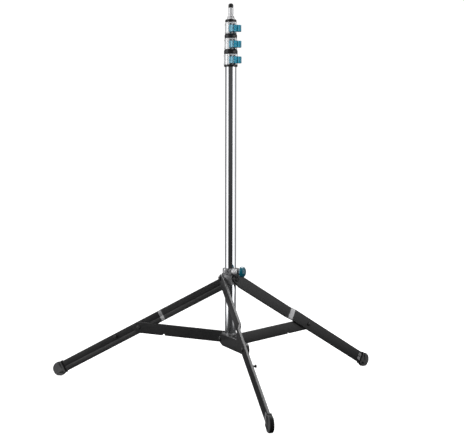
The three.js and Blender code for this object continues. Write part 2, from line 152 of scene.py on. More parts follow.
def place(name, mesh, matrix, material, body, nodes=(), sharp=30, also=()):
    """Makes an object of (points, faces) in mm, in place in the frame, riding on a body.

    also lists (material, test): faces whose centre passes the test get that material instead.
    """
    points, faces = mesh
    whole = MAST @ matrix
    data = bpy.data.meshes.new(name)
    data.from_pydata([whole @ Vector(p) for p in points], [], faces)
    data.validate()
    data.shade_smooth()
    data.set_sharp_from_angle(angle=math.radians(sharp))
    obj = bpy.data.objects.new(name, data)
    bpy.context.scene.collection.objects.link(obj)
    data.materials.append(material)
    for slot, (other, test) in enumerate(also, 1):
        data.materials.append(other)
        for polygon in data.polygons:
            if test(sum((Vector(points[k]) for k in faces[polygon.index]), Vector()) / len(polygon.vertices)):
                polygon.material_index = slot
    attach(obj, body)
    if nodes:
        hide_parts(*nodes)
    return obj


def joined(*meshes):
    """Several meshes as one."""
    points, faces = [], []
    for more_points, more_faces in meshes:
        start = len(points)
        points += more_points
        faces += [tuple(start + i for i in f) for f in more_faces]
    return points, faces


def moved(mesh, matrix):
    """A mesh with its points put through a matrix."""
    return [matrix @ Vector(p) for p in mesh[0]], mesh[1]


def arc(cx, cy, r, from_deg, to_deg, steps):
    """Points (x, y) along a circle's arc."""
    angles = (math.radians(from_deg + (to_deg - from_deg) * i / steps) for i in range(steps + 1))
    return [(cx + r * math.cos(a), cy + r * math.sin(a)) for a in angles]


def soften(corners, closed=True, steps=4):
    """Rounds the corners of a line: each corner is (x, y) or (x, y, radius)."""
    count = len(corners)
    out = []
    for i, corner in enumerate(corners):
        here = Vector(corner[:2])
        radius = corner[2] if len(corner) > 2 else 0
        if radius <= 0 or (not closed and i in (0, count - 1)):
            out.append(tuple(here))
            continue
        before = Vector(corners[i - 1][:2]) - here
        after = Vector(corners[(i + 1) % count][:2]) - here
        reach = min(radius, before.length * 0.49, after.length * 0.49)
        a, b = here + before.normalized() * reach, here + after.normalized() * reach
        for k in range(steps + 1):
            t = k / steps
            out.append(tuple(a * (1 - t) ** 2 + here * 2 * t * (1 - t) + b * t**2))
    return out


def lathe(profile, segments=72):
    """Turns a profile of (r, z) about the z axis. It closes on itself unless it ends on the axis."""
    on_axis = profile[0][0] < 1e-6 and profile[-1][0] < 1e-6
    points, rings = [], []
    for r, z in profile:
        if r < 1e-6:
            rings.append([len(points)] * segments)
            points.append((0, 0, z))
            continue
        rings.append(list(range(len(points), len(points) + segments)))
        for k in range(segments):
            a = 2 * math.pi * k / segments
            points.append((r * math.cos(a), r * math.sin(a), z))
    faces = []
    pairs = list(zip(rings, rings[1:])) + ([] if on_axis else [(rings[-1], rings[0])])
    for a, b in pairs:
        for k in range(segments):
            m = (k + 1) % segments
            face = []
            for index in (a[k], a[m], b[m], b[k]):
                if index not in face:
                    face.append(index)
            if len(face) > 2:
                faces.append(tuple(face))
    return points, faces


def inset(outline, distance, closed=True):
    """An anticlockwise outline, moved inwards."""
    count = len(outline)
    out = []
    for i, (x, y) in enumerate(outline):
        a = outline[i - 1] if closed or i else outline[i]
        b = outline[(i + 1) % count] if closed or i < count - 1 else outline[i]
        tangent = Vector((b[0] - a[0], b[1] - a[1])).normalized()
        out.append((x - tangent.y * distance, y + tangent.x * distance))
    return out


def rim(low_z, high_z, radius, steps=4):
    """Levels (z, inset) of a slab whose two rims are rounded."""
    curve = [math.pi / 2 * k / steps for k in range(steps + 1)]
    bottom = [(low_z + radius * (1 - math.sin(t)), radius * (1 - math.cos(t))) for t in reversed(curve)]
    top = [(low_z + high_z - z, d) for z, d in bottom[::-1]]
    return bottom + top if radius > 0 else [(low_z, 0), (high_z, 0)]


def slab(outline, levels, bore=None, closed=True):
    """An outline (anticlockwise) raised through levels (z, inset), with a round bore if one is given."""
    count = len(outline)
    points, loops = [], []
    for z, distance in levels:
        loops.append(range(len(points), len(points) + count))
        points += [(x, y, z) for x, y in inset(outline, distance, closed)]
    span = count if closed else count - 1
    faces = []

    def bridge(a, b):
        for k in range(span):
            m = (k + 1) % count
            faces.append((a[k], a[m], b[m], b[k]))

    for a, b in zip(loops, loops[1:]):
        bridge(a, b)
    if bore is None:
        faces.append(tuple(reversed(loops[0])))
        faces.append(tuple(loops[-1]))
        return points, faces
    wall = []
    for z in (levels[0][0], levels[-1][0]):
        wall.append(range(len(points), len(points) + count))
        for x, y in outline:
            r = math.hypot(x, y)
            points.append((x * bore / r, y * bore / r, z))
    bridge(loops[-1], wall[1])
    bridge(wall[1], wall[0])
    bridge(wall[0], loops[0])
    if not closed:
        for k in (0, count - 1):
            edge = [loop[k] for loop in loops] + [wall[1][k], wall[0][k]]
            faces.append(tuple(edge if k else edge[::-1]))
    return points, faces


def block(x, y, z, radius, rounding):
    """A box with softened corners seen from above and rounded rims."""
    corners = [(x[0], y[0], radius), (x[1], y[0], radius), (x[1], y[1], radius), (x[0], y[1], radius)]
    return slab(soften(corners), rim(z[0], z[1], rounding))


def section(below, above, near, far, radius, seam, seam_depth):
    """Cross-section of a bar, (height, depth) points, with a rolled seam along its near face."""
    r = max(0.05, min(radius, (above - below) / 2 * 0.98, (far - near) / 2 * 0.98))
    half = min(SEAM_HALF, (above - below) / 4)
    loop = arc(above - r, far - r, r, 90, 0, 5)
    loop += arc(above - r, near + r, r, 0, -90, 5)
    ridge = [(half + 0.9, 0), (half, 0.35), (half * 0.7, 1), (-half * 0.7, 1), (-half, 0.35), (-half - 0.9, 0)]
    loop += [(seam + h, near + seam_depth * d) for h, d in ridge]
    loop += arc(below + r, near + r, r, 270, 180, 5)
    loop += arc(below + r, far - r, r, 180, 90, 5)
    return loop


def loft(stations):
    """Joins cross-sections along x. Each station is (x, section)."""
    points, loops = [], []
    for x, loop in stations:
        loops.append(range(len(points), len(points) + len(loop)))
        points += [(x, h, d) for h, d in loop]
    faces = []
    for a, b in zip(loops, loops[1:]):
        for k in range(len(a)):
            m = (k + 1) % len(a)
            faces.append((a[k], b[k], b[m], a[m]))
    faces.append(tuple(loops[0]))
    faces.append(tuple(reversed(loops[-1])))
    return points, faces


# ---- frames ----


def heading(azimuth):
    """Level direction at an azimuth: 0 is the front, -Y, and 90 is +X."""
    a = math.radians(azimuth)
    return Vector((math.sin(a), -math.cos(a), 0))


UP = Vector((0, 0, 1))


def basis(x, y, z, origin):
    """The matrix whose axes and origin are given."""
    m = Matrix((x, y, z)).transposed().to_4x4()
    m.translation = origin
    return m


def radial_frame(azimuth, height):
    """Z points out from the mast and Y points up."""
    out = heading(azimuth)
    return basis(UP.cross(out), UP, out, (0, 0, height))


def bar_frame(azimuth, reach, height, slope):
    """X runs down along a leg or brace, Z points away from the mast beside it."""
    out = heading(azimuth)
    away = out.cross(UP)
    along = out * math.cos(slope) - UP * math.sin(slope)
    return basis(along, away.cross(along), away, out * reach + UP * height)


def clamp_screw_frame():
    """Z runs along the collar's screw towards its knob."""
    along = heading(CLAMP_SCREW_AZIMUTH)
    across = UP.cross(along)
    origin = across * -CLAMP_SCREW_OFFSET
    return basis(across, UP, along, (origin.x, origin.y, CLAMP_SCREW_Z))


# ---- materials ----

NOISE_SPAN = (0.3, 0.7)  # the part of a noise texture's range that is used
PATCHES = 90
WORN_SPAN = (0.515, 0.56)  # of the surface's pointiness
# of the surface's pointiness: painted shade darkens hollows within this span
HOLLOW_SHADE_SPAN = (0.495, 0.44)
RELIEF_M = 0.0004


def ramp_between(nodes, links, value, start, end, low_value=0, high_value=1):
    """Maps a value from start..end to low_value..high_value, and holds it there."""
    spread = nodes.new("ShaderNodeMapRange")
    spread.inputs["From Min"].default_value, spread.inputs["From Max"].default_value = start, end
    spread.inputs["To Min"].default_value, spread.inputs["To Max"].default_value = low_value, high_value
    links.new(value, spread.inputs["Value"])
    return spread.outputs["Result"]


def noise(nodes, links, coords, scale, detail, stretch=(1, 1, 1)):
    mapping = nodes.new("ShaderNodeMapping")
    mapping.inputs["Scale"].default_value = stretch
    texture = nodes.new("ShaderNodeTexNoise")
    texture.inputs["Scale"].default_value = scale
    texture.inputs["Detail"].default_value = detail
    links.new(coords.outputs["Object"], mapping.inputs["Vector"])
    links.new(mapping.outputs["Vector"], texture.inputs["Vector"])
    return texture.outputs["Fac"]


def surface(
    name,
    slot,
    dark,
    light,
    metallic,
    roughness,
    grain,
    bump,
    tint_scale=12,
    stretch=(1, 1, 1),
    worn=None,
    hollow_shade=None,
    **uniform,
):
    """A procedural surface: colour drifts between dark and light, roughness and bump follow a grain.

    Raised edges can be worn to another colour, and hollows can take a darker one as painted shade.
    """
    material = bpy.data.materials.new(name)
    material.use_nodes = True
    nodes, links = material.node_tree.nodes, material.node_tree.links
    shader = nodes["Principled BSDF"]
    coords = nodes.new("ShaderNodeTexCoord")

    drift = noise(nodes, links, coords, tint_scale, 4, stretch)
    ramp = nodes.new("ShaderNodeValToRGB")
    for element, position, tone in zip(ramp.color_ramp.elements, NOISE_SPAN, (dark, light)):
        element.position = position
        element.color = (*tone, 1)
    links.new(drift, ramp.inputs["Fac"])
    colour = ramp.outputs["Color"]

    fine = noise(nodes, links, coords, grain, 6, stretch)
    links.new(ramp_between(nodes, links, fine, *NOISE_SPAN, *roughness), shader.inputs["Roughness"])

    def blend(start, end, top):
        """Mixes another colour in where the surface bends, patchily."""
        bend = nodes.new("ShaderNodeNewGeometry").outputs["Pointiness"]
        patchy = nodes.new("ShaderNodeMath")
        patchy.operation = "MULTIPLY"
        links.new(ramp_between(nodes, links, bend, start, end), patchy.inputs[0])
        links.new(noise(nodes, links, coords, PATCHES, 3), patchy.inputs[1])
        mix = nodes.new("ShaderNodeMix")
        mix.data_type = "RGBA"
        links.new(patchy.outputs["Value"], mix.inputs["Factor"])
        links.new(colour, mix.inputs["A"])
        mix.inputs["B"].default_value = (*top, 1)
        return mix.outputs["Result"]

    if worn:
        colour = blend(*WORN_SPAN, worn)
    # painted shade: hollows get a darker colour
    if hollow_shade:
        colour = blend(*HOLLOW_SHADE_SPAN, hollow_shade)
    links.new(colour, shader.inputs["Base Color"])

    relief = nodes.new("ShaderNodeBump")
    relief.inputs["Strength"].default_value = bump
    relief.inputs["Distance"].default_value = RELIEF_M
    links.new(fine, relief.inputs["Height"])
    links.new(relief.outputs["Normal"], shader.inputs["Normal"])

    shader.inputs["Metallic"].default_value = metallic
    for socket, value in uniform.items():
        shader.inputs[socket.replace("_", " ")].default_value = value
    return material


CHROME = surface("chrome", "chrome", (0.62, 0.63, 0.65), (0.74, 0.75, 0.77), 1, (0.05, 0.11),
                 900, 0.01, stretch=(1, 1, 0.04))
ALLOY = surface("cast_alloy", "cast_alloy", (0.68, 0.69, 0.7), (0.8, 0.81, 0.82), 0.5, (0.26, 0.38),
                1400, 0.12, tint_scale=40)
# painted reflection: a paler, sheenier copy of the blue for the grip's short side
SHEEN_BLUE = surface("sheen_blue_plastic", "blue_plastic", (0.16, 0.45, 0.6), (0.26, 0.56, 0.7), 0.3,
                    (0.16, 0.28), 1200, 0.08, tint_scale=70, hollow_shade=(0, 0.05, 0.12), Coat_Weight=0.5)
GREY_ALLOY = surface("collar_alloy", "cast_alloy", (0.18, 0.18, 0.185), (0.25, 0.25, 0.255), 0.4,
                     (0.38, 0.5), 1100, 0.15, tint_scale=60)
BLACK_PAINT = surface("black_paint", "black_paint", (0.01, 0.01, 0.0105), (0.017, 0.017, 0.0175), 0,
                      (0.3, 0.44), 700, 0.22, tint_scale=9, worn=(0.08, 0.08, 0.082),
                      Specular_IOR_Level=0.4)
HUB_PAINT = surface("hub_paint", "black_paint", (0.026, 0.026, 0.027), (0.042, 0.042, 0.043), 0,
                    (0.34, 0.48), 700, 0.2, tint_scale=30, worn=(0.16, 0.16, 0.162))
BLACK_PLASTIC = surface("black_plastic", "black_plastic", (0.008, 0.008, 0.008), (0.014, 0.014, 0.015),
                        0, (0.3, 0.42), 1600, 0.15, tint_scale=50)
# painted shade: the grip's hollows are coloured darker
BLUE = surface("blue_plastic", "blue_plastic", (0.004, 0.27, 0.42), (0.01, 0.35, 0.52), 0,
               (0.2, 0.32), 1200, 0.08, tint_scale=70, hollow_shade=(0, 0.04, 0.08), Coat_Weight=0.25)
# painted shade: a darker blue for the inside of the grip's deep grooves
SHADED_GROOVE_BLUE = surface("shaded_groove_blue_plastic", "blue_plastic", (0, 0.025, 0.05), (0, 0.05, 0.085), 0,
                      (0.4, 0.5), 1200, 0.08, tint_scale=70)
DEEP_BLUE = surface("deep_blue_plastic", "blue_plastic", (0.0, 0.08, 0.12), (0.0, 0.11, 0.16), 0,
                    (0.1, 0.18), 900, 0.03, tint_scale=60, Coat_Weight=0.6)
RUBBER = surface("rubber", "rubber", (0.048, 0.048, 0.049), (0.076, 0.076, 0.077), 0, (0.62, 0.8),
                 1500, 0.35, tint_scale=30)
# painted shade: a darker copy of the rubber for the boot's rim and mouth lip
SHADED_RUBBER = surface("shaded_rubber", "rubber", (0.004, 0.004, 0.004), (0.008, 0.008, 0.008), 0,
                      (0.5, 0.65), 1500, 0.2, tint_scale=30, Specular_IOR_Level=0.2)
CAP_RUBBER = surface("cap_rubber", "rubber", (0.006, 0.006, 0.006), (0.012, 0.012, 0.012), 0,
                     (0.4, 0.55), 1500, 0.2, tint_scale=60)
STEEL = surface("steel", "steel", (0.62, 0.62, 0.63), (0.74, 0.74, 0.75), 0.4, (0.3, 0.4), 1300, 0.06,
                tint_scale=50)
# painted highlight: a light grey for the joggle's sloping face, standing in for the light it catches
HIGHLIGHT_STEP = surface("painted_highlight_step", "black_paint", (0.3, 0.3, 0.305), (0.42, 0.42, 0.425), 0.5,
                    (0.28, 0.4), 700, 0.15, tint_scale=120)
BLACK_STEEL = surface("black_steel", "steel", (0.03, 0.03, 0.03), (0.055, 0.055, 0.055), 0.5,
                      (0.25, 0.4), 1300, 0.12, tint_scale=50)
PLATE_GREY = surface("grey_plate", "steel", (0.22, 0.22, 0.224), (0.3, 0.3, 0.304), 0.3,
                     (0.4, 0.5), 1200, 0.1, tint_scale=80)

IDENTITY = Matrix.Identity(4)


# ---- mast ----


def mast_body(i):
    """The body of tube i and of the clamp on top of it."""
    return f"riser_{i}" if i else "base"


def ring_foot(i):
    return FIRST_RING_FOOT + i * CLAMP_PITCH


def ring_top(i):
    return ring_foot(i) + RING_H[i]


def clamp_span(i):
    """Heights of a clamp's lower and upper end: it fills the room between two rings."""
    bottom = ring_top(i - 1) + GAP if i else FIRST_CLAMP_FOOT
    return bottom, ring_foot(i) - GAP


def add_tube(i):
    node = f"{mast_body(i)}_tube"
    bottom, top = (corner.z * 1000 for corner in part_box(node))
    r = TUBE_R[i]
    profile = soften([(r - WALL, bottom, 0.4), (r, bottom, 0.4), (r, top, 0.4), (r - WALL, top, 0.4)])
    place(f"{node}_chrome", lathe(profile, 128), IDENTITY, CHROME, mast_body(i), [node])


def clamp_outline(r):
    """The clamp seen from above: round, with a flat pad towards the knob and a seam each side of it."""
    half = LUG_W / 2
    meet = -math.sqrt(r * r - half * half)
    start = math.degrees(math.atan2(meet, half))
    seams = (SEAM_AZIMUTH - 90, 270 - SEAM_AZIMUTH)
    round_part = []
    for k in range(181):
        angle = start + (180 - 2 * start) * k / 180
        off = min(abs(angle - at) for at in seams)
        reach = r - SEAM_DIP * max(0, 1 - off / SEAM_SPREAD)
        round_part.append((reach * math.cos(math.radians(angle)), reach * math.sin(math.radians(angle)), 0))
    pad = [(-half, -r - LUG_OUT, 2.2), (half, -r - LUG_OUT, 2.2)]
    return soften(round_part + pad)


def small_screw():
    """A socket screw that fills its pocket and whose black head covers the rim: partly a real screw, partly
    painted shade of the pocket.
    """
    shank, head = POCKET_R - 0.1, SCREW_HEAD_R
    under, top = POCKET_DEPTH + 0.05, POCKET_DEPTH + 0.35
    outside = [(0, 0), (shank, 0), (shank, under), (head, under), (head - 0.2, top)]
    socket = [(0.7, top), (0.6, 1), (0, 1)]
    return lathe(outside + socket, 20)


def fluted_bar():
    """A knob's grip, fluted on both faces and longer on one side of the screw."""
    steps = FLUTES * FLUTE_STEPS
    run = BAR_SHORT + BAR_LONG - 2 * BAR_EDGE

    def face(sign):
        line = []
        for i in range(steps + 1):
            dip = FLUTE_DEPTH * (1 + math.cos(2 * math.pi * i / FLUTE_STEPS)) / 2
            from_groove = abs((i + FLUTE_STEPS) % (2 * FLUTE_STEPS) - FLUTE_STEPS)
            dip += GROOVE_DEPTH * max(0, 1 - (from_groove / GROOVE_STEPS) ** 2)
            line.append((-BAR_SHORT + BAR_EDGE + run * i / steps, sign * (BAR_DEPTH / 2 - dip), 0))
        return line

    flank = BAR_DEPTH / 2 - 2.4
    near_end = [(BAR_LONG, -flank, 1.5), (BAR_LONG, flank, 1.5)]
    far_end = [(-BAR_SHORT, flank, 1.5), (-BAR_SHORT, -flank, 1.5)]
    outline = soften(face(-1) + near_end + face(1)[::-1] + far_end)
    return slab(outline, rim(-BAR_HEIGHT / 2, BAR_HEIGHT / 2, 1.3))


def add_clamp(i):
    """The clamp on top of tube i, with its screws, its black ring and its knob."""
    n = i + 1
    r = CLAMP_R[i]
    body = mast_body(i)
    bottom, top = clamp_span(i)
    level = (bottom + top) / 2 - KNOB_DROP
    shell = slab(clamp_outline(r), rim(bottom, top, CLAMP_ROUNDING), bore=TUBE_R[i] + GAP)
    place(f"clamp_{n}_body", shell, IDENTITY, ALLOY, body, [f"clamp_{n}"])

    front = radial_frame(0, level)
    beside = radial_frame(SIDE_POCKETS_AZIMUTH, level)
    screws = []
    for rise in (1 - POCKET_RISE, POCKET_RISE + 1):
        for side in (-POCKET_SIDE, POCKET_SIDE):
            at = Matrix.Translation((side, rise, r + LUG_OUT - POCKET_DEPTH))
            screws.append(moved(small_screw(), front @ at))
        screws.append(moved(small_screw(), beside @ Matrix.Translation((0, rise, r - POCKET_DEPTH))))
    # black heads: partly real screws, partly painted shade of their pockets
    place(f"clamp_{n}_screws", joined(*screws), IDENTITY, BLACK_PLASTIC, body)

    inner = TUBE_R[i + 1] + GAP
    low_z, top_z = ring_foot(i), ring_top(i)
    ring = soften([
        (inner, low_z, 0.3),
        (r - 0.4, low_z, 0.4),
        (r, low_z + 1.5, 0.6),
        (r, low_z + 2.4, 0.3),
        (r - 0.5, low_z + 2.8, 0.2),
        (r - 0.5, low_z + 3.4, 0.2),
        (r, low_z + 3.8, 0.3),
        (r, top_z - 4, 0.8),
        (r - 2, top_z, 0.8),
        (inner + 0.8, top_z, 0.5),
        (inner, top_z - 0.8, 0.3),
    ])
    place(f"clamp_{n}_black_ring", lathe(ring, 96), IDENTITY, BLACK_PLASTIC, body, [f"clamp_{n}_ring"])

    hub_from = r + LUG_OUT + 2 * GAP
    bar_from = hub_from + KNOB_HUB_LENGTH
    middle = bar_from + BAR_DEPTH / 2
    upright = Matrix.Translation((0, 0, middle)) @ Matrix.Rotation(-math.pi / 2, 4, "X")
    hub_line = [(0, hub_from), (KNOB_HUB_R, hub_from, 0.8), (KNOB_HUB_R, bar_from + 1), (0, bar_from + 1)]
    knob = joined(moved(fluted_bar(), upright), lathe(soften(hub_line, closed=False), 48))

    # faces inside the deep grooves, which take the painted shade
    def in_groove(c):
        deep = abs(c.z - middle) < BAR_DEPTH / 2 - FLUTE_DEPTH - 0.3
        return deep and 2 - BAR_SHORT < c.x < BAR_LONG - 2 and abs(c.y) < BAR_HEIGHT / 2 - 0.1

    place(f"t_knob_{n}_grip", knob, front, BLUE, f"t_knob_{n}", [f"t_knob_{n}"], sharp=50,
          also=[(SHEEN_BLUE, lambda c: c.x < SHEEN_SIDE), (SHADED_GROOVE_BLUE, in_groove)])


def add_skirt():
    bottom = clamp_span(0)[0] - GAP - SKIRT_H
    inner, r = TUBE_R[0] + GAP, CLAMP_R[0]
    profile = soften([
        (inner, bottom, 0.3),
        (r - 1.5, bottom, 0.8),
        (r, bottom + 2, 0.8),
        (r, bottom + SKIRT_H, 0.3),
        (inner, bottom + SKIRT_H, 0.3),
    ])
    place("clamp_1_black_skirt", lathe(profile, 96), IDENTITY, BLACK_PLASTIC, "base", ["clamp_1_skirt"])


def add_spigot():
    """The pin on top of the mast, with grub screws round its cone and a soft tip."""
    base = ring_top(2) + 2 * GAP
    profile = soften([
        (0, base),
        (FLANGE["r"], base, 0.3),
        (FLANGE["r"], base + FLANGE["edge"], 0.6),
        (PIN_R, base + FLANGE["cone"], 0.6),
        (NECK["r"], base + NECK["from"], 0.3),
        (NECK["r"], base + NECK["to"], 0.3),
        (PIN_R, base + NECK["to"] + 0.6, 0.3),
        (PIN_R, PIN_TOP - 0.8, 0.3),
        (PIN_R - 0.8, PIN_TOP, 0.3),
        (0, PIN_TOP),
    ], closed=False)
    place("spigot_pin", lathe(profile, 72), IDENTITY, STEEL, "riser_3", ["spigot"])
    r = GRUBS["r"]
    grub = lathe([(0, 0), (r, 0), (r, 1.3), (r - 0.4, 1.6), (0.6, 1.6), (0.5, 0.9), (0, 0.9)], 20)
    mid_cone = radial_frame(0, base + (FLANGE["edge"] + FLANGE["cone"]) / 2)
    out = Matrix.Translation((0, 0, (FLANGE["r"] + PIN_R) / 2 - 0.9))
    grubs = []
    for k in range(GRUBS["count"]):
        turn = Matrix.Rotation(math.radians(360 / GRUBS["count"] * k + GRUBS["turn"]), 4, "Z")
        grubs.append(moved(grub, turn @ mid_cone @ out))
    place("spigot_grub_screws", joined(*grubs), IDENTITY, BLACK_PLASTIC, "riser_3")
    low_z = PIN_TOP + GAP
    shoulder = CAP_TOP - CAP_R
    dome = arc(0, shoulder, CAP_R, 0, 90, 12)
    dome[-1] = (0, CAP_TOP)
    cap = [(0, low_z), (CAP_R - 0.5, low_z), (CAP_R, low_z + 0.5), *dome]
    place("spigot_tip", lathe(cap, 48), IDENTITY, CAP_RUBBER, "riser_3", ["spigot_cap"])


# ---- castings ----


def three_flats(r):
    """A circle cut by three flats, as (x, y) points."""
    out = []
    faces = [heading(azimuth).cross(UP) for azimuth in LEG_AZIMUTHS.values()]
    for k in range(240):
        a = 2 * math.pi * k / 240
        ray = Vector((math.cos(a), math.sin(a), 0))
        reach = [FLAT_AT / ray.dot(n) for n in faces if ray.dot(n) > 0.05]
        s = min([r, *reach])
        out.append((ray.x * s, ray.y * s))
    return out


def bolt_head(at, r=8, thick=5, socket=3):
    """Profile of a button head with a socket, standing on the height given."""
    return soften([
        (0, at),
        (r, at, 0.6),
        (r, at + thick * 0.55, 1.8),
        (r * 0.6, at + thick, 1.2),
        (socket, at + thick, 0.3),
        (socket - 0.3, at + thick * 0.45),
        (0, at + thick * 0.45),
    ], closed=False)


def add_hub():
    """The base hub, closed underneath."""
    bore = TUBE_R[0] + GAP
    body = slab(three_flats(CAST_R), rim(*HUB_Z, CAST_ROUNDING), bore=bore)
    low_z, top_z = HUB_FLOOR_Z
    floor = lathe([(0, low_z), (bore, low_z), (bore, top_z), (0, top_z)], 48)
    place("base_hub_casting", joined(body, floor), IDENTITY, HUB_PAINT, "base", ["base_hub"])


def add_collar():
    """The sliding collar: a casting with a split ring, and the screw and knob that clamp it."""
    bottom, top = COLLAR_Z
    bore = TUBE_R[0] + GAP
    lower = slab(three_flats(CAST_R), rim(bottom, COLLAR_RING_Z, CAST_ROUNDING), bore=bore)
    frame_matrix = clamp_screw_frame()
    along = heading(CLAMP_SCREW_AZIMUTH)
    across = UP.cross(along)
    split = -across * COLLAR_RING_R + along * (SPLIT_W / 2)
    split_at = math.degrees(math.atan2(split.y, split.x))
    half_gap = math.degrees(SPLIT_W / 2 / COLLAR_RING_R)
    ring_line = arc(0, 0, COLLAR_RING_R, split_at + half_gap, split_at + 360 - half_gap, 120)
    upper = slab(ring_line, rim(COLLAR_RING_Z - 2, top, 1.4), bore=bore, closed=False)
    ear_x = (CLAMP_SCREW_OFFSET - EAR["far"], CLAMP_SCREW_OFFSET - EAR["near"] - 2)
    rise = (EAR["low"] - CLAMP_SCREW_Z, top - CLAMP_SCREW_Z)
    ears = []
    for low_z, high_z in ((EAR["from"], 0), (SPLIT_W, EAR["to"])):
        ears.append(moved(block(ear_x, rise, (low_z, high_z), 3, 0.9), frame_matrix))
    place("leg_collar_casting", joined(lower, upper, *ears), IDENTITY, GREY_ALLOY, "leg_collar", ["leg_collar"])

    sleeve = soften([
        (0, SLEEVE["from"]),
        (SLEEVE["r"], SLEEVE["from"], 0.8),
        (SLEEVE["r"], SLEEVE["to"], 0.8),
        (0, SLEEVE["to"]),
    ], closed=False)
    flange = soften([
        (SLEEVE["r"] + 0.05, SLEEVE_FLANGE["from"], 0.2),
        (SLEEVE_FLANGE["r"], SLEEVE_FLANGE["from"], 0.5),
        (SLEEVE_FLANGE["r"], SLEEVE_FLANGE["to"], 0.5),
        (SLEEVE["r"] + 0.05, SLEEVE_FLANGE["to"], 0.2),
    ])
    place("collar_clamp_washer", lathe(flange, 64), frame_matrix, BLACK_PLASTIC, "collar_knob")
    nut = soften([
        (0, EAR["from"] - 4),
        (SLEEVE["r"], EAR["from"] - 4, 1),
        (SLEEVE["r"], EAR["from"] - GAP, 0.4),
        (0, EAR["from"] - GAP),
    ], closed=False)
    screw = joined(lathe(sleeve, 64), lathe(nut, 48))
    place("collar_clamp_sleeve", screw, frame_matrix, STEEL, "collar_knob", ["collar_knob_screw"])

    r, start, end = KNOB["r"], KNOB["from"], KNOB["to"]
    profile = soften([
        (0, start),
        (r - 2.5, start, 0.8),
        (r - 0.5, start + 1.5, 0.8),
        (r, start + 4, 1.2),
        (r, start + 9, 1.2),
        (r - 1.2, start + 12.5, 1.2),
        (r - 2.6, start + 13.8, 0.3),
        (r - 3.1, start + 13.5, 0.3),
        (r - 4.2, start + 15.4, 1.2),
        (r - 8, end - 0.8, 2.5),
        (0, end),
    ], closed=False, steps=6)
    place("collar_round_knob", lathe(profile, 96), frame_matrix, DEEP_BLUE, "collar_knob", ["collar_knob"])


# ---- legs and braces ----


def end_half_height(x, half):
    """Half height of a bar at x: a round end about x = 0 that widens to the full half height."""
    shoulder_x, shoulder_h = SHOULDER
    if x < shoulder_x:
        return math.sqrt(max(0, END_R**2 - x * x))
    if x < TAPER:
        return shoulder_h + (half - shoulder_h) * (x - shoulder_x) / (TAPER - shoulder_x)
    return half


def end_stations():
    """Where a bar's round end and its taper need cross-sections."""
    xs = [-END_R * math.cos(math.radians(4 + 8.6 * k)) for k in range(10)]
    return xs + [SHOULDER[0], 6, 16, TAPER - 2, TAPER, TAPER + 2]


